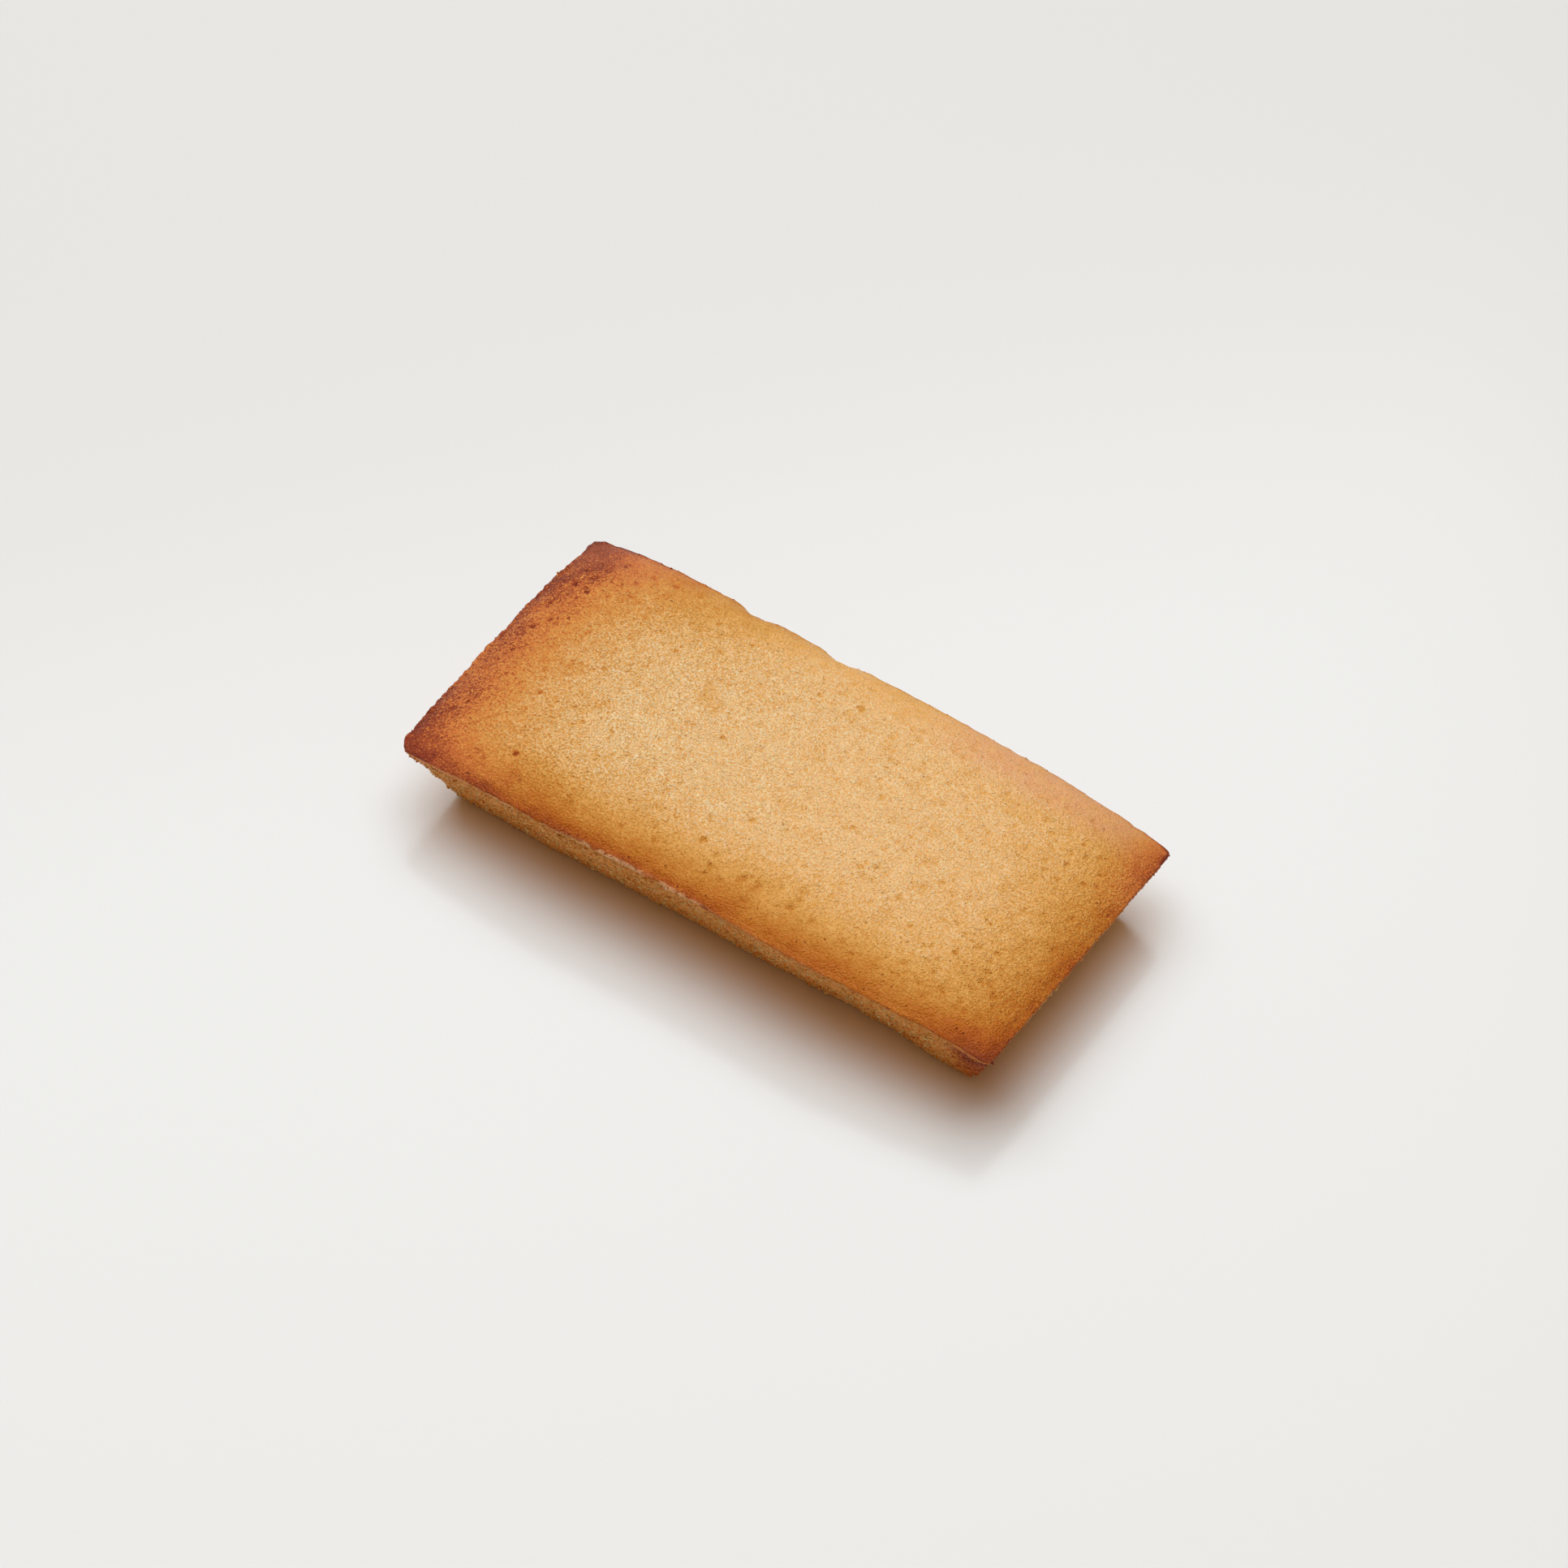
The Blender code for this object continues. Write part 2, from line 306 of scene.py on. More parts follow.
SETTLED_HEIGHT = 1.2 * MM            # below this the relief fades out, down to the flat foot


def relief(place, rim, dimpled):
    """How far a point of the skin moves out along its normal."""
    crust = HILL_HEIGHT * wave(place, HILL_SIZE, 1.0) + PEBBLE_HEIGHT * wave(place, PEBBLE_SIZE, 2.0)
    crust -= DIMPLE_DEPTH * dimpled
    wall = CRAG_HEIGHT * wave(place, CRAG_SIZE, 3.0) + CRUMB_HEIGHT * wave(place, CRUMB_SIZE, 4.0)
    torn = smooth(*LIP_TO_WALL, -rim)
    ridge = RIDGE_HEIGHT * bell(rim - RIDGE_PLACE, RIDGE_WIDTH) * (0.3 + 0.7 * highlit_stretch(place))
    ridge *= 0.8 + 1.6 * wave(place, PEBBLE_SIZE, 5.0)
    groove = GROOVE_DEPTH * bell(rim - GROOVE_PLACE, RIDGE_WIDTH) * (1 + wave(place, HILL_SIZE, 6.0))
    tooth = TOOTH_HEIGHT * bell(rim, TOOTH_WIDTH) * wave(place, TOOTH_SIZE, 8.0)
    tooth *= smooth(*DRY_END, place.x / MM)
    return crust * (1 - torn) + wall * torn + ridge - groove + tooth


skin.normal_update()
relief_layer = skin.verts.layers.float.new("relief")
dimple_layer = skin.verts.layers.float.new("dimple")
moves = []
for vert in skin.verts:
    rim = vert[rim_layer]
    vert[dimple_layer] = dimple(vert.co) * smooth(*DIMPLES_START, rim)
    height = relief(vert.co, rim, vert[dimple_layer]) * smooth(0.0, SETTLED_HEIGHT, vert.co.z)
    vert[relief_layer] = height / MM
    moves.append(height * vert.normal)
for vert, move in zip(skin.verts, moves):
    vert.co += move
print("largest move, mm:", round(max(m.length for m in moves) / MM, 2))

# %% [markdown]
# ## How brown is it?
#
# Tin and oven brown a cake from its edges. Each side gets a browning that is strongest at the rim
# and fades inwards: far in from the left end, which stood in the hottest part of the oven, a few
# millimetres in from the front and the right, and hardly at all at the back. Where two sides meet,
# what one leaves pale the other still browns, so the corners are the darkest. No side browned
# evenly along its length, so the left and the front each have a share that goes up and down.

# %% Brown the edges
BROWNING = {                         # strength at the rim, mm in that it reaches, and how it fades
    "left": (0.80, 10.0, 1.6),
    "right": (0.78, 7.2, 1.0),
    "front": (0.74, 6.3, 1.5),
    "back": (0.24, 6.0, 1.0),
}
HOT_BACK = (0.33, 9.5, 1.8)          # the same for the hotter half of the back
HOT_HALF = (-4, -22)                 # mm along x, over which that half comes in
WARM_LEFT = (0.09, 27.0, 3.0)        # and far in from the left end, only just
PATCH_SIZE = 6.0 * MM
PATCHINESS = 0.20
BLOTCH_SIZE = 1.6 * MM
BLOTCHES = 0.08


def inward(place):
    """How many millimetres the place lies in from each side of the cake."""
    return {
        "left": (place.x - solid_low.x) / MM,
        "right": (solid_high.x - place.x) / MM,
        "front": (place.y - solid_low.y) / MM,
        "back": (solid_high.y - place.y) / MM,
    }


def faded(distance, strength, reach, power):
    """The strength at the rim, fading with the distance from it in mm."""
    return strength * math.exp(-((max(0.0, distance) / reach) ** power))


def uneven_shares(place):
    """The share of its browning that each side has here, with the places in mm."""
    x, y = on_plan(place)
    left = 1 + 0.05 * smooth(-6, -14, y) + 0.07 * smooth(0, 14, y)      # more towards both corners,
    left -= 0.12 * bell(y + 5, 4) + 0.12 * smooth(-18, -20.5, y)        # less between, and on the rim
    front = 1.1 - 0.42 * bell(x + 35, 5) - 0.12 * smooth(8, 28, x)      # a pale place near the left,
    front += 0.06 * bell(x - 9, 7) + 0.4 * smooth(34, 39, x)            # and a dark right corner
    return {"left": left, "right": 1, "front": front, "back": 1}


def browning(place):
    """How brown the crust is, from 0, pale gold, to 1, the darkest."""
    distances = inward(place)
    shares = uneven_shares(place)
    pale = 1 - faded(distances["left"], *WARM_LEFT)
    for side, fade in BROWNING.items():
        pale *= 1 - shares[side] * faded(distances[side], *fade)
    pale *= 1 - faded(distances["back"], *HOT_BACK) * smooth(*HOT_HALF, place.x / MM)
    patchy = 1 + PATCHINESS * wave(place, PATCH_SIZE, 7.0)
    return (1 - pale) * patchy + BLOTCHES * wave(place, BLOTCH_SIZE, 9.0)


# %% [markdown]
# ## Pits, lip and corners
#
# Some places browned apart from that. Pits and dimples are browner, partly their own amber and
# partly shade painted into the hollow. The edge of the back rim is scorched, and the crust is deeper
# brown just above the painted highlight line. Light is painted on the face of the lip, which faces
# down into shadow, but not at the hot end. On the right front corner the wall browned right down to
# the foot.

# %% Brown the pits, the lip and the corner
# browner pits and dimples: partly their own amber, partly painted shade in the hollow
HOLLOW_BROWN_AND_SHADE = 0.30
DIMPLE_BROWN_AND_SHADE = 0.17
SCORCH = 0.25
SCORCHED_RIM = (17, 19)              # mm along y, over which the scorched back rim comes in
LIP_BROWN = 0.14
LIP_BROWN_PLACE = 0.3                # mm above the crest
LIP_BROWN_WIDTH = 0.7
# painted light on the lip's face, which faces down into shadow
LIP_PAINTED_LIGHT = 0.45
LIP_END = (2.0, 1.2)                 # mm below the crest, over which the lip's face ends


def hot_corner(place):
    """1 on the wall of the right front corner, which browned down to its foot."""
    x, y = on_plan(place)
    return smooth(32, 39, x) * smooth(-8, -14, y)


def hot_end(place):
    """1 on the wall of the left end, but not round its front corner."""
    x, y = on_plan(place)
    return smooth(-38, -40.5, x) * smooth(-19, -15, y)


def above_lip_highlight(place):
    """1 along the front where the crust above the painted highlight line is deeper brown."""
    x, y = on_plan(place)
    return smooth(-34, -29, x) * smooth(6, 0, x) * smooth(-17, -19, y)


def browned(place, rim, hollow, dimpled):
    """The browning with all that adds to it or takes from it here."""
    paler = 1 - LIP_PAINTED_LIGHT * smooth(0.0, 0.5, -rim) * smooth(*LIP_END, -rim) * (1 - hot_end(place))
    corner = hot_corner(place) * smooth(0.0, 1.0, -rim) * (0.50 + 0.15 * smooth(2.0, 7.0, -rim))
    brown = max(browning(place) * paler, corner)
    brown += HOLLOW_BROWN_AND_SHADE * hollow + DIMPLE_BROWN_AND_SHADE * dimpled
    brown += SCORCH * smooth(*SCORCHED_RIM, place.y / MM) * smooth(0.5, 0.1, rim)
    lip = LIP_BROWN * bell(rim - LIP_BROWN_PLACE, LIP_BROWN_WIDTH) * smooth(-0.3, 0.0, rim)
    return brown + lip * above_lip_highlight(place)


hollow_layer = skin.verts.layers.float["hollow"]
brown_layer = skin.verts.layers.float.new("browning")
for vert in skin.verts:
    vert[brown_layer] = browned(vert.co, vert[rim_layer], vert[hollow_layer], vert[dimple_layer])
print("mean browning:", round(sum(v[brown_layer] for v in skin.verts) / len(skin.verts), 2))

# %% [markdown]
# ## What else the skin carries
#
# Along the front of the lip a pale line about half a millimetre wide is painted, broken into glittering
# grains: the highlight where light catches the ridge. The crust creeps down the wall below the lip, is
# drier and sandier at the hot end, and gets a painted pink sheen where it rolls over the back rim.
# Each of these is a number at every point of the mesh, which the material reads as an attribute. A
# line as thin as the painted highlight would come out jagged that way, so the points carry their
# distance from it, and the material draws it.

# %% Place the painted highlight line
# the highlight line painted along the lip, where light catches its ridge
LIP_HIGHLIGHT_PLACE = -0.25                  # mm from the crest
LIP_HIGHLIGHT_LOWERED = 0.5                  # mm lower at the left, where the lip is taller
TALLER_LIP = (-14, -21)              # mm along x, over which it gets taller
LIP_HIGHLIGHT_GAPS = 1.1 * MM
LIP_HIGHLIGHT_PATCHES = 5 * MM
LIP_HIGHLIGHT_ELSEWHERE = 0.03               # a trace of it on the rest of the rim


def lip_highlight(place):
    """How much of the lip carries the painted highlight, from 0 to 1: nearly all of it along the stretch,
    with gaps.
    """
    broken = smooth(-0.60, 0.10, wave(place, LIP_HIGHLIGHT_GAPS, 13.0) + 0.4 * wave(place, LIP_HIGHLIGHT_PATCHES, 14.0))
    return broken * (LIP_HIGHLIGHT_ELSEWHERE + (1 - LIP_HIGHLIGHT_ELSEWHERE) * highlit_stretch(place))


def from_lip_highlight(place, rim):
    """How many mm the place lies above the middle of the painted highlight line."""
    return rim - LIP_HIGHLIGHT_PLACE + LIP_HIGHLIGHT_LOWERED * smooth(*TALLER_LIP, place.x / MM)


# %% Tell the wall from the crust
WALL_EDGE = (0.6, 1.2)               # mm below the crest, over which the skin turns into crumb
RAGGED_SIZE = 0.8 * MM
RAGGED = 0.5                         # mm that this edge goes up and down
TOASTED_END = (3.6, 0.8)             # mm below the crest, over which the crust creeps down the wall
TOASTED = 0.45                       # how much of the crumb's colour that hides,
TOASTED_LEFT = 0.35                  # and how much more on the left half


def walled(place, rim):
    """0 on the crust and its lip, 1 on the wall. Near the lip, and at the hot corner, the wall toasted."""
    ragged = RAGGED * wave(place, RAGGED_SIZE, 16.0)
    toasted = (TOASTED + TOASTED_LEFT * smooth(4, -12, place.x / MM)) * smooth(*TOASTED_END, -rim)
    return smooth(*WALL_EDGE, -rim + ragged) * (1 - max(toasted, 0.95 * hot_corner(place)))


# %% Dry some places, paint a sheen on others, and redden some
PAINTED_SHEEN_BLOTCHES = 1.6 * MM


def dryness(place):
    """How dry and sugary the crust is: most at the hot left end, least along the moist front."""
    distances = inward(place)
    along = 0.6 + 0.4 * smooth(12, -28, place.x / MM)
    front = 0.4 + 0.6 * smooth(2.0, 8.0, distances["front"])
    back = 0.5 + 0.5 * smooth(2.0, 9.0, distances["back"])
    return along * front * back


def painted_sheen(place):
    """How far the colour is drawn towards pink: a painted sheen where the crust rolls over the back rim."""
    x, y = on_plan(place)
    share = 0.42 * smooth(6, 18, x) * smooth(41, 35, x) + 0.10 * smooth(-26, -34, x)
    return share * smooth(13, 17.5, y) * (0.9 + 0.5 * wave(place, PAINTED_SHEEN_BLOTCHES, 15.0))


def rust(place, rim):
    """How far the browning turns red: at the hot left end, and at both corners of the right end."""
    x, y = on_plan(place)
    left = smooth(-20, -38, x)
    back_right = 0.7 * smooth(36, 41, x) * smooth(4, 13, y)
    return max(left, back_right, hot_corner(place) * smooth(0.0, 0.8, -rim))


# %% Write all of them on the skin
carried = {
    "lip_highlight": lambda place, rim: lip_highlight(place),
    "from_lip_highlight": from_lip_highlight,
    "painted_sheen": lambda place, rim: painted_sheen(place),
    "walled": walled,
    "dryness": lambda place, rim: dryness(place),
    "rust": rust,
}
for name, measure in carried.items():
    layer = skin.verts.layers.float.new(name)
    for vert in skin.verts:
        vert[layer] = measure(vert.co, vert[rim_layer])
    print(name, "on average:", round(sum(vert[layer] for vert in skin.verts) / len(skin.verts), 2))

# %% [markdown]
# ## Crumbs
#
# The wall is torn crumb: thousands of grains of almond and flour stand out of it, and hide its
# smooth surface when it is seen from above. Particles or instances would place them well, but a
# saved model loses both. So every grain is real: a tiny octahedron, because at a third of a
# millimetre nobody can count its faces, and smooth shading rounds it. Adding to a mesh gets slower
# as it grows, so the grains are made in small batches that are then joined.

# %% Choose seats for the crumbs
SEED = 7
WALL_GRAINS = 2.6                    # grains to a square millimetre of wall,
LIP_GRAINS = 3.0                     # along the middle of the lip's face,
FOOT_GRAINS = 2.4                    # and added on the lowest part of the wall
WALL_BELOW = (0.7, 1.3)              # mm below the crest, over which the wall's grains come in
LIP_MIDDLE = 0.45                    # mm below the crest
LIP_BAND = 0.5
FOOT_BAND = (1.0, 4.0)               # mm up from the floor, over which the added ones fade out
BARE_FOOT = (0.15, 0.5)              # mm up from the floor, over which all grains come in
chance = random.Random(SEED)


def grains_wanted(rim, height):
    """How many grains a square millimetre of skin has, at this height in mm."""
    wall = WALL_GRAINS * smooth(*WALL_BELOW, -rim) + FOOT_GRAINS * (1 - smooth(*FOOT_BAND, height))
    lip = LIP_GRAINS * bell(rim + LIP_MIDDLE, LIP_BAND)
    return (wall + lip) * smooth(*BARE_FOOT, height)


carried_names = ("browning", "lip_highlight", "from_lip_highlight", "walled", "dryness", "rust")
carried_layers = [skin.verts.layers.float[name] for name in carried_names]


def choose_seats(work):
    """Places, normals and skin values for the grains, spread by chance."""
    seats = []
    for face in work.faces:
        middle = face.calc_center_median()
        rim = sum(v[rim_layer] for v in face.verts) / len(face.verts)
        wanted = grains_wanted(rim, middle.z / MM) * face.calc_area() / MM ** 2
        for _ in range(int(wanted + chance.random())):
            corner = chance.choice(face.verts[:])
            place = middle.lerp(corner.co, chance.random())
            skin_values = [corner[layer] for layer in carried_layers]
            seats.append((place, face.normal.copy(), rim, skin_values))
    return seats


skin.normal_update()
seats = choose_seats(skin)
print("grains:", len(seats))

# %% Make the crumbs
GRAIN_RADIUS = (0.09, 0.19)          # mm
COARSE_SHARE = 0.03                  # of the grains are coarse bits of almond
COARSE_RADIUS = (0.22, 0.38)
LIP_SHRINK = 0.7                     # of their size, for grains on the lip
LIP_BOTTOM = -0.9                    # mm from the crest
OFF_FLOOR = 0.8                      # of a grain's height above the floor: its largest radius
STRETCH = (0.7, 1.3)                 # of each of a grain's three radii
FULL_TURN = 6.28
TILT = 0.8                           # radians, either way
STANDS_OUT = (-0.1, 0.5)             # a random relief value per grain: its own tone and painted light that makes it paler
GRAIN_TONE_AND_LIGHT = (-0.05, 0.45)               # its relief value, which makes a high grain paler
BATCH = 60


def add_grain(work, layers, seat):
    """One octahedron, half sunk in the skin, with its own stretch, turn and shade."""
    place, normal, rim, skin_values = seat
    radius = chance.uniform(*(COARSE_RADIUS if chance.random() < COARSE_SHARE else GRAIN_RADIUS)) * MM
    radius *= LIP_SHRINK if rim > LIP_BOTTOM else 1.0
    radius = min(radius, OFF_FLOOR * place.z)
    sizes = [radius * chance.uniform(*STRETCH) for _ in range(3)]
    turn = normal.to_track_quat("Z", "Y").to_matrix().to_4x4()
    turn @= Matrix.Rotation(chance.uniform(0, FULL_TURN), 4, "Z")
    turn @= Matrix.Rotation(chance.uniform(-TILT, TILT), 4, "X")
    where = Matrix.Translation(place + normal * radius * chance.uniform(*STANDS_OUT))
    made = bmesh.ops.create_uvsphere(
        work, u_segments=4, v_segments=2, radius=1.0, matrix=where @ turn @ Matrix.Diagonal((*sizes, 1.0))
    )
    values = [chance.uniform(*GRAIN_TONE_AND_LIGHT), *skin_values]
    for vert in made["verts"]:
        for layer, value in zip(layers, values):
            vert[layer] = value


def grains_at(seats):
    """All the grains in one bmesh, made batch by batch."""
    whole = bmesh.new()
    for first in range(0, len(seats), BATCH):
        batch = bmesh.new()
        layers = [batch.verts.layers.float.new(name) for name in ("relief", *carried_names)]
        for seat in seats[first:first + BATCH]:
            add_grain(batch, layers, seat)
        carrier = bpy.data.meshes.new("batch")
        batch.to_mesh(carrier)
        batch.free()
        whole.from_mesh(carrier)
        bpy.data.meshes.remove(carrier)
    return whole


crumb_mesh = grains_at(seats)
print("crumbs:", len(crumb_mesh.faces), "faces")

# %% [markdown]
# ## The cake as a piece
#
# The finished skin becomes the object that stands for the solid cake. It rides on the same body.
# Its faces get one of two slots for materials: the first above the crest of the rim, on the crust,
# and the second below it, on the lip's face and the wall.

# %% Make the cake's object
CREST_MARGIN = 0.05                  # mm above the crest that a face of the second slot may reach


def piece(name, work):
    """A smooth shaded object at the origin, made from a bmesh."""
    mesh = bpy.data.meshes.new(name)
    work.to_mesh(mesh)
    work.free()
    mesh.shade_smooth()
    made = bpy.data.objects.new(name, mesh)
    bpy.context.scene.collection.objects.link(made)
    return made


for face in skin.faces:
    face.material_index = int(max(v[rim_layer] for v in face.verts) < CREST_MARGIN)
cake = piece("cake", skin)
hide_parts("financier")
crumbs = piece("crumbs", crumb_mesh)
for made in (cake, crumbs):
    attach(made, "root")
    print(made.name, len(made.data.vertices), "points")

# %% [markdown]
# ## Making materials
#
# Colours are easiest to choose as the sRGB hex values of a picture, but shaders work with linear
# light, so one function turns them. Another adds a node with its settings and links, which keeps
# a node tree readable as text.

# %% Helpers for materials
def linear(shade):
    """An sRGB hex colour such as "#d59f5a" as linear red, green, blue and alpha."""
    parts = [int(shade[i:i + 2], 16) / 255 for i in (1, 3, 5)]
    return (*[p / 12.92 if p <= 0.04045 else ((p + 0.055) / 1.055) ** 2.4 for p in parts], 1.0)


def add_node(tree, kind, links, **settings):
    """Adds a node. Each link gives one of its sockets a value, or the socket that feeds it."""
    node = tree.nodes.new(kind)
    for name, value in settings.items():
        setattr(node, name, value)
    for socket, source in links.items():
        if isinstance(source, bpy.types.NodeSocket):
            tree.links.new(source, node.inputs[socket])
        else:
            node.inputs[socket].default_value = source
    return node


def set_ramp(node, shades):
    """Gives a colour ramp its sRGB colours, each with its place from 0 to 1."""
    ramp = node.color_ramp
    while len(ramp.elements) < len(shades):
        ramp.elements.new(1.0)
    for element, (place, shade) in zip(ramp.elements, shades.items()):
        element.position = place
        element.color = linear(shade)
    return node.outputs["Color"]


def new_material(name):
    """A material with nodes, its node tree and its main shader."""
    material = bpy.data.materials.new(name)
    material.use_nodes = True
    return material, material.node_tree, material.node_tree.nodes["Principled BSDF"]


# %% [markdown]
# ## The crust and the torn crumb
#
# Baked almond crust is sugar and egg white set over a fine foam. It is matt, but its grains catch the
# light one by one; these glints are painted into its colour as golden specks about a quarter of a
# millimetre wide. Where it browned, it turns through amber and orange to a deep brown, and at the hot
# left end to a redder one, so there are two ramps of colour and a blend between them. The wall under
# the lip never dried: it is paler crumb, with shade painted into its hollows and light painted
# onto its grains.
#
# Both finishes blend into each other at the lip, so one function builds them. Only the crust has
# the faint sheen of dry sugar, which on torn crumb would look like a grey dust. The patterns, each
# colour, the painted highlight line and the finest relief have functions of their own, as one long
# function would be hard to follow.

# %% Draw the grain and the pores
GRAIN_SIZE = 0.34 * MM               # a grain of ground almond
GRAIN_SPACING = 0.30 * MM            # such grains side by side, each with a small dome of skin over it
DOME_EDGE = 0.62                     # where the dome starts, as a share of the spacing,
DOME_TOP = 0.05                      # and where it is at its full height
FINE_SIZE = 0.22 * MM                # a grain of sugar, drawn about twice as coarse so that it shows
PORE_SPACING = 0.9 * MM
PORE_VARIES = 0.34                   # of that spacing, the range of the pores' radii,
PORE_LESS = 0.14                     # less this, so two cells in five have no pore
PORE_SLOPE = 0.10                    # from a pore's edge to its floor


def grain_and_pores(tree):
    """The patterns that both finishes are drawn with, each from 0 to 1."""
    place = add_node(tree, "ShaderNodeTexCoord", {}).outputs["Object"]
    grain = add_node(
        tree, "ShaderNodeTexNoise",
        {"Vector": place, "Scale": 1 / GRAIN_SIZE, "Detail": 2.0, "Roughness": 0.7},
    ).outputs["Fac"]
    fine = add_node(
        tree, "ShaderNodeTexNoise", {"Vector": place, "Scale": 1 / FINE_SIZE, "Detail": 0.0}
    ).outputs["Fac"]
    grains = add_node(tree, "ShaderNodeTexVoronoi", {"Vector": place, "Scale": 1 / GRAIN_SPACING})
    dome = add_node(
        tree, "ShaderNodeMapRange",
        {"Value": grains.outputs["Distance"], "From Min": DOME_EDGE, "From Max": DOME_TOP},
        interpolation_type="SMOOTHSTEP",
    ).outputs["Result"]
    bubbles = add_node(tree, "ShaderNodeTexVoronoi", {"Vector": place, "Scale": 1 / PORE_SPACING})
    any_value = add_node(
        tree, "ShaderNodeSeparateColor", {"Color": bubbles.outputs["Color"]}
    ).outputs["Red"]
    edge = add_node(
        tree, "ShaderNodeMath", {0: any_value, 1: PORE_VARIES, 2: -PORE_LESS}, operation="MULTIPLY_ADD"
    ).outputs[0]
    depth = add_node(
        tree, "ShaderNodeMath", {0: edge, 1: bubbles.outputs["Distance"]}, operation="SUBTRACT"
    ).outputs[0]
    pore = add_node(
        tree, "ShaderNodeMapRange", {"Value": depth, "From Min": 0.0, "From Max": PORE_SLOPE}
    ).outputs["Result"]
    return {"grain": grain, "fine": fine, "dome": dome, "pore": pore}


# %% Find the grains with a painted glint
GLINT_STARTS = 0.50                  # the height of the fine pattern where a grain starts to glint
GLINT_FULL = 0.60
GLINT_RARER = 0.16                   # taken from that pattern where the crust is darkest


def painted_grain_glints(tree, on_skin, pattern):
    """1 on single grains that get a painted glint, fewer where the crust browned."""
    rare = add_node(
        tree, "ShaderNodeMath", {0: on_skin["browning"], 1: -GLINT_RARER, 2: pattern["fine"]},
        operation="MULTIPLY_ADD",
    ).outputs[0]
    painted_glint = add_node(
        tree, "ShaderNodeMapRange", {"Value": rare, "From Min": GLINT_STARTS, "From Max": GLINT_FULL}
    ).outputs["Result"]
    return add_node(
        tree, "ShaderNodeMath", {0: painted_glint, 1: on_skin["dryness"]}, operation="MULTIPLY"
    ).outputs[0]


# %% Vary the browning by grain and pores
GRAIN_BROWN = 1.75                   # how far the grain moves the browning of dry crust: its own tone, and painted light and shade
EVEN_FROM = 0.3                      # the browning above which it moves it less,
EVEN_TO = 0.8
EVEN_SHARE = 0.45                    # down to this share
PORE_BROWN_AND_SHADE = 0.18
GRAIN_GOLD = 0.5                     # how much of the browning a grain with a painted glint loses


def varied_browning(tree, on_skin, pattern, painted_glint):
    """The browning of each grain, which picks its colour on the ramps: paler on raised grains, darker in
    pores.
    """
    # the grain and pore patterns are also the finest relief's height, so raised grains get painted light
    # and pores painted shade, over the grain's own uneven tone
    lift = add_node(tree, "ShaderNodeMath", {0: pattern["grain"], 1: 0.5}, operation="SUBTRACT").outputs[0]
    lift = add_node(
        tree, "ShaderNodeMath", {0: lift, 1: on_skin["dryness"]}, operation="MULTIPLY"
    ).outputs[0]
    even = add_node(
        tree, "ShaderNodeMapRange",
        {
            "Value": on_skin["browning"], "From Min": EVEN_FROM, "From Max": EVEN_TO,
            "To Min": 1.0, "To Max": EVEN_SHARE,
        },
    ).outputs["Result"]
    lift = add_node(tree, "ShaderNodeMath", {0: lift, 1: even}, operation="MULTIPLY").outputs[0]
    uneven = add_node(
        tree, "ShaderNodeMath", {0: lift, 1: -GRAIN_BROWN, 2: on_skin["browning"]}, operation="MULTIPLY_ADD"
    ).outputs[0]
    shaded = add_node(
        tree, "ShaderNodeMath", {0: pattern["pore"], 1: PORE_BROWN_AND_SHADE, 2: uneven}, operation="MULTIPLY_ADD"
    ).outputs[0]
    golden = add_node(
        tree, "ShaderNodeMath", {0: painted_glint, 1: -GRAIN_GOLD, 2: 1.0}, operation="MULTIPLY_ADD"
    ).outputs[0]
    return add_node(tree, "ShaderNodeMath", {0: shaded, 1: golden}, operation="MULTIPLY").outputs[0]


# %% Colour the crust
AMBER_CRUST = {
    0.0: "#f8c685", 0.15: "#f3b66a", 0.25: "#ecb15d", 0.4: "#e1a14c",
    0.55: "#d38b31", 0.7: "#c8751b", 0.85: "#b95d0a", 1.0: "#8e3a06",
}
RUSTY_CRUST = {
    0.0: "#f7c686", 0.15: "#f0b36b", 0.3: "#e9a452", 0.45: "#e69646",
    0.6: "#e0833d", 0.7: "#cf6e33", 0.85: "#9a3e1e", 1.0: "#782a16",
}
# painted glint: the pale colour of a grain that catches the light
PAINTED_GLINT_COLOUR = "#ffebc0"
PALE_BELOW = 0.4                     # the browning below which a painted glint turns paler still,
PALEST_AT = 0.05
PALE_MOST = 0.8                      # up to this share of the pale shade
# painted sheen: the pinkish grazing reflection where the crust rolls over the back rim
PAINTED_SHEEN = "#e8a586"


def crust_colour(tree, on_skin, pattern):
    """The crust's two ramps blended by its rust, with painted glints and the painted pink sheen over them.
    """
    painted_glint = painted_grain_glints(tree, on_skin, pattern)
    shaded = varied_browning(tree, on_skin, pattern, painted_glint)
    amber = set_ramp(add_node(tree, "ShaderNodeValToRGB", {"Fac": shaded}), AMBER_CRUST)
    rusty = set_ramp(add_node(tree, "ShaderNodeValToRGB", {"Fac": shaded}), RUSTY_CRUST)
    crust = add_node(
        tree, "ShaderNodeMix", {"Factor": on_skin["rust"], 6: amber, 7: rusty}, data_type="RGBA"
    ).outputs[2]
    pale = add_node(
        tree, "ShaderNodeMapRange",
        {"Value": on_skin["browning"], "From Min": PALE_BELOW, "From Max": PALEST_AT, "To Max": PALE_MOST},
    ).outputs["Result"]
    pale = add_node(tree, "ShaderNodeMath", {0: pale, 1: painted_glint}, operation="MULTIPLY").outputs[0]
    crust = add_node(
        tree, "ShaderNodeMix", {"Factor": pale, 6: crust, 7: linear(PAINTED_GLINT_COLOUR)}, data_type="RGBA"
    ).outputs[2]
    return add_node(
        tree, "ShaderNodeMix", {"Factor": on_skin["painted_sheen"], 6: crust, 7: linear(PAINTED_SHEEN)}, data_type="RGBA"
    ).outputs[2]


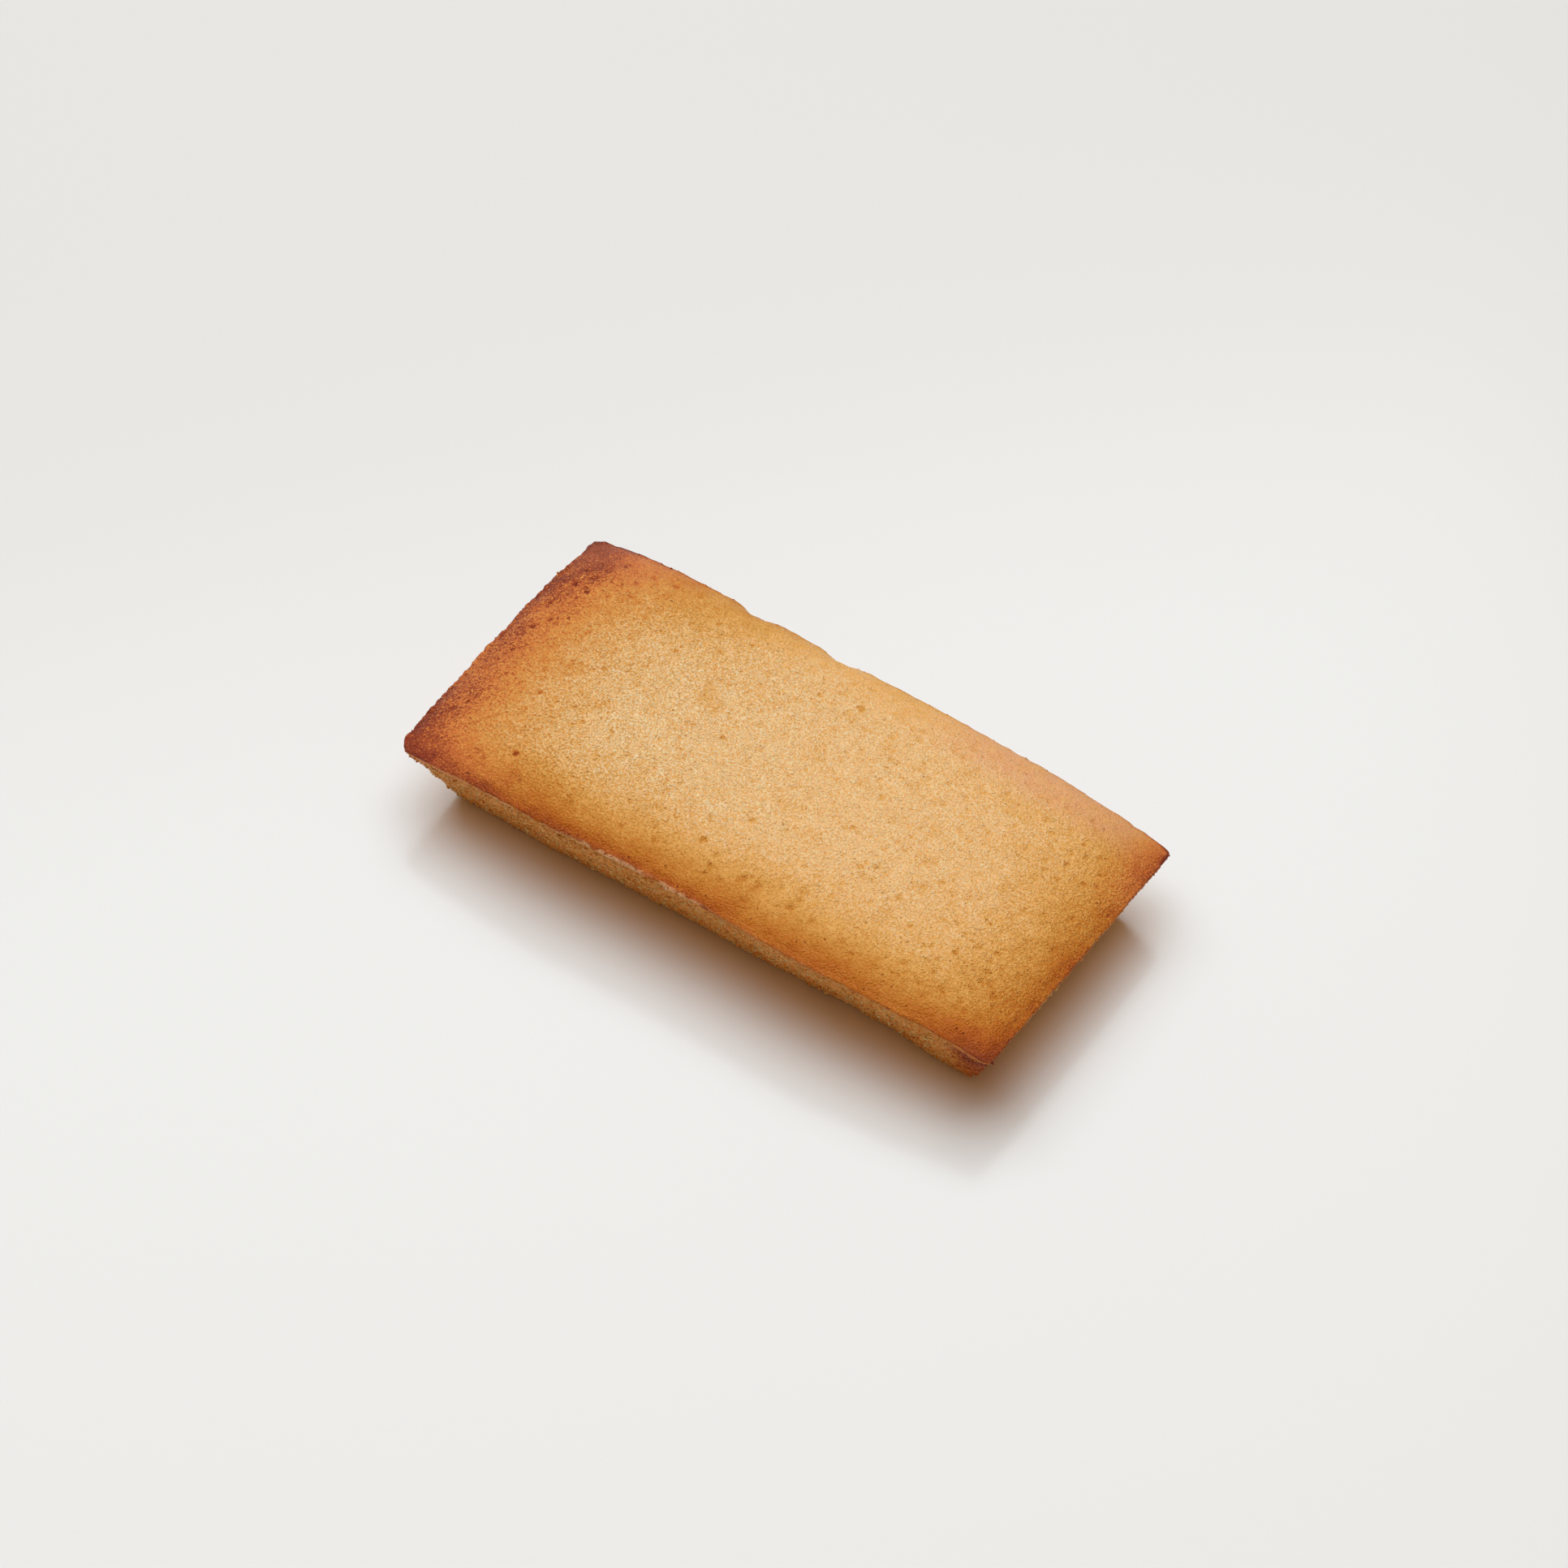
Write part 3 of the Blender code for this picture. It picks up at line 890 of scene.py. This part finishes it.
# %% Colour the wall's crumb
WALL_CRUMB = {
    0.0: "#a8561c", 0.25: "#da8130", 0.45: "#f99c40", 0.65: "#ffb656", 1.0: "#ffe2a2",
}
PAINTED_RELIEF_LIGHT = 1.2                   # painted light and shade: how far on the ramp a millimetre of relief goes
CRUMB_START = 0.48                   # taken off, so that the middle shade is the common one


def crumb_colour(tree, on_skin, pattern):
    """Torn crumb, with painted shade in its hollows and painted light on its raised grains."""
    crumbly = add_node(
        tree, "ShaderNodeMath", {0: on_skin["relief"], 1: PAINTED_RELIEF_LIGHT, 2: pattern["grain"]},
        operation="MULTIPLY_ADD",
    ).outputs[0]
    crumbly = add_node(tree, "ShaderNodeMath", {0: crumbly, 1: pattern["fine"]}, operation="ADD").outputs[0]
    crumbly = add_node(
        tree, "ShaderNodeMath", {0: crumbly, 1: CRUMB_START}, operation="SUBTRACT"
    ).outputs[0]
    return set_ramp(add_node(tree, "ShaderNodeValToRGB", {"Fac": crumbly}), WALL_CRUMB)


# %% Paint the lip's highlight line
# painted highlight: the pale glitter where light catches the front lip's ridge
PAINTED_LIP_HIGHLIGHT = "#ffd29e"
LIP_HIGHLIGHT_HALF_WIDTH = 0.60              # mm from the middle of the line to where the last of it ends
HIGHLIGHT_GRAINS_START = 0.28                  # the height of the grain pattern where its grains start to be pale
HIGHLIGHT_GRAINS_FULL = 0.50


def with_painted_lip_highlight(tree, on_skin, pattern, colour):
    """The colour with the painted highlight line over it, which glitters: only some of its grains are
    paled.
    """
    aside = add_node(
        tree, "ShaderNodeMath", {0: on_skin["from_lip_highlight"]}, operation="ABSOLUTE"
    ).outputs[0]
    line = add_node(
        tree, "ShaderNodeMapRange", {"Value": aside, "From Min": LIP_HIGHLIGHT_HALF_WIDTH, "From Max": 0.0},
        interpolation_type="SMOOTHSTEP",
    ).outputs["Result"]
    glints = add_node(
        tree, "ShaderNodeMapRange",
        {"Value": pattern["grain"], "From Min": HIGHLIGHT_GRAINS_START, "From Max": HIGHLIGHT_GRAINS_FULL},
    ).outputs["Result"]
    glints = add_node(tree, "ShaderNodeMath", {0: glints, 1: line}, operation="MULTIPLY").outputs[0]
    highlighted = add_node(
        tree, "ShaderNodeMath", {0: glints, 1: on_skin["lip_highlight"]}, operation="MULTIPLY"
    ).outputs[0]
    return add_node(
        tree, "ShaderNodeMix", {"Factor": highlighted, 6: colour, 7: linear(PAINTED_LIP_HIGHLIGHT)}, data_type="RGBA"
    ).outputs[2]


# %% Raise the finest relief
FINEST_HEIGHT = 0.32 * MM            # what a height of 1 is in the patterns' sum
DOME_SHARE = 0.32                    # of the grain pattern's height
FINE_SHARE = 0.50
MOIST_SHARE = 0.50                   # how much of the relief moist, whole crust has
PORE_DEPTH = 0.5


def finest_relief(tree, on_skin, pattern):
    """A normal from noise and small domes, strongest where it is dry or torn, with the pores in it."""
    height = add_node(
        tree, "ShaderNodeMath", {0: pattern["dome"], 1: DOME_SHARE, 2: pattern["grain"]},
        operation="MULTIPLY_ADD",
    ).outputs[0]
    height = add_node(
        tree, "ShaderNodeMath", {0: pattern["fine"], 1: FINE_SHARE, 2: height}, operation="MULTIPLY_ADD"
    ).outputs[0]
    rough = add_node(
        tree, "ShaderNodeMath", {0: on_skin["dryness"], 1: on_skin["walled"]}, operation="MAXIMUM"
    ).outputs[0]
    rough = add_node(
        tree, "ShaderNodeMath", {0: rough, 1: 1 - MOIST_SHARE, 2: MOIST_SHARE}, operation="MULTIPLY_ADD"
    ).outputs[0]
    height = add_node(tree, "ShaderNodeMath", {0: height, 1: rough}, operation="MULTIPLY").outputs[0]
    height = add_node(
        tree, "ShaderNodeMath", {0: pattern["pore"], 1: -PORE_DEPTH, 2: height}, operation="MULTIPLY_ADD"
    ).outputs[0]
    return add_node(
        tree, "ShaderNodeBump", {"Height": height, "Distance": FINEST_HEIGHT, "Strength": 1.0}
    ).outputs["Normal"]


# %% Build the two finishes
def baked_almond(name, sheen):
    """A finish of the cake's skin: its crust, or with no sheen its torn crumb."""
    material, tree, shader = new_material(name)
    on_skin = {
        layer: add_node(tree, "ShaderNodeAttribute", {}, attribute_name=layer).outputs["Fac"]
        for layer in ("relief", "painted_sheen", *carried_names)
    }
    pattern = grain_and_pores(tree)
    crust = crust_colour(tree, on_skin, pattern)
    crumb = crumb_colour(tree, on_skin, pattern)
    colour = add_node(
        tree, "ShaderNodeMix", {"Factor": on_skin["walled"], 6: crust, 7: crumb}, data_type="RGBA"
    ).outputs[2]
    tree.links.new(with_painted_lip_highlight(tree, on_skin, pattern, colour), shader.inputs["Base Color"])
    tree.links.new(finest_relief(tree, on_skin, pattern), shader.inputs["Normal"])
    # sugar and egg white set hard: half matt, so each grain has a soft glint, as of butter
    shader.inputs["Roughness"].default_value = 0.45
    shader.inputs["IOR"].default_value = 1.45
    shader.inputs["Specular IOR Level"].default_value = 0.25
    # a faint dust of dry sugar, which lightens the crust where it turns away
    shader.inputs["Sheen Weight"].default_value = sheen
    shader.inputs["Sheen Roughness"].default_value = 0.4
    shader.inputs["Sheen Tint"].default_value = linear("#ffdcd0")
    # light goes about a millimetre deep into the crumb, the red of it furthest
    shader.inputs["Subsurface Weight"].default_value = 0.2
    shader.inputs["Subsurface Radius"].default_value = (1.0, 0.42, 0.16)
    shader.inputs["Subsurface Scale"].default_value = 1.0 * MM
    print(name, len(tree.nodes), "nodes")
    return material


torn_crumb = baked_almond("torn_almond_crumb", sheen=0.0)
cake.data.materials.append(baked_almond("baked_almond_crust", sheen=0.12))
cake.data.materials.append(torn_crumb)
crumbs.data.materials.append(torn_crumb)

# %% [markdown]
# ## Floor
#
# The cake stands on a plain pale floor, big enough to reach past the view from any side. A matt one
# would leave the shadow too dark, so it is glazed, and its blurred reflection softens the shadow.

# %% Lay the floor
FLOOR_SIZE = 3.0


def floor():
    """A square sheet that only the stage has."""
    work = bmesh.new()
    bmesh.ops.create_grid(work, x_segments=1, y_segments=1, size=FLOOR_SIZE / 2)
    made = piece("floor", work)
    # glazed stoneware: a smooth pale surface with a blurred reflection that fills the shadow
    material, tree, shader = new_material("pale_glazed_floor")
    shader.inputs["Base Color"].default_value = linear("#e8eaea")
    shader.inputs["Roughness"].default_value = 0.2
    made.data.materials.append(material)


floor()

# %% [markdown]
# ## Light
#
# One large window, high on the left and a little behind, gives the short soft shadows. What it
# doesn't reach is lit by the room, which is warmer, so the shadows are brown and not grey.

# %% Hang the window and warm the room
CAKE_MIDDLE = (0, 0, 0.01)
ROOM_STRENGTH = 0.31


def pointed(name, data, place, target):
    """Links a light or a camera at a place, looking at the target."""
    made = bpy.data.objects.new(name, data)
    made.location = place
    made.rotation_euler = (Vector(target) - place).to_track_quat("-Z", "Y").to_euler()
    bpy.context.scene.collection.objects.link(made)
    return made


def direction(azimuth, elevation):
    """From the cake towards a place round it. Azimuth 0 is in front, at -Y."""
    turn, rise = math.radians(azimuth), math.radians(elevation)
    return Vector((math.sin(turn) * math.cos(rise), -math.cos(turn) * math.cos(rise), math.sin(rise)))


def softbox(name, azimuth, elevation, distance, width, height, watts, shade):
    """A rectangular light that looks at the cake."""
    lamp = bpy.data.lights.new(name, "AREA")
    lamp.shape = "RECTANGLE"
    lamp.size, lamp.size_y = width, height
    lamp.energy = watts
    lamp.color = linear(shade)[:3]
    return pointed(name, lamp, direction(azimuth, elevation) * distance, CAKE_MIDDLE)


softbox(
    "window", azimuth=232, elevation=74, distance=1.0, width=1.1, height=1.1, watts=11.9, shade="#e8f6ff"
)

world = bpy.data.worlds.new("warm_room")
bpy.context.scene.world = world
world.use_nodes = True
background = world.node_tree.nodes["Background"]
background.inputs["Color"].default_value = linear("#ffc98f")
background.inputs["Strength"].default_value = ROOM_STRENGTH

# %% [markdown]
# ## Camera
#
# The camera looks down on one corner from far off through a long lens, as a product photograph
# does, so the cake's long sides stay nearly parallel.

# %% Set up the camera
CAMERA_AZIMUTH = 31.94
CAMERA_ELEVATION = 48.06
CAMERA_ROLL = 2.98
CAMERA_DISTANCE = 723.7 * MM
CAMERA_OFFSET = (0.14 * MM, 3.74 * MM)     # to the right and up, in the camera's own directions
AIM_HEIGHT = 7.0 * MM
LENS = 139.75


def camera():
    """The camera, with its roll, made the scene's own."""
    lens = bpy.data.cameras.new("camera")
    lens.lens = LENS
    back = direction(CAMERA_AZIMUTH, CAMERA_ELEVATION)
    turn = back.to_track_quat("Z", "Y").to_matrix() @ Matrix.Rotation(math.radians(CAMERA_ROLL), 3, "Z")
    made = bpy.data.objects.new("camera", lens)
    right, up = turn.col[0], turn.col[1]
    place = Vector((0, 0, AIM_HEIGHT)) + back * CAMERA_DISTANCE
    made.location = place + right * CAMERA_OFFSET[0] + up * CAMERA_OFFSET[1]
    made.rotation_euler = turn.to_euler()
    bpy.context.scene.collection.objects.link(made)
    bpy.context.scene.camera = made


camera()
bpy.context.scene.view_settings.view_transform = "Standard"
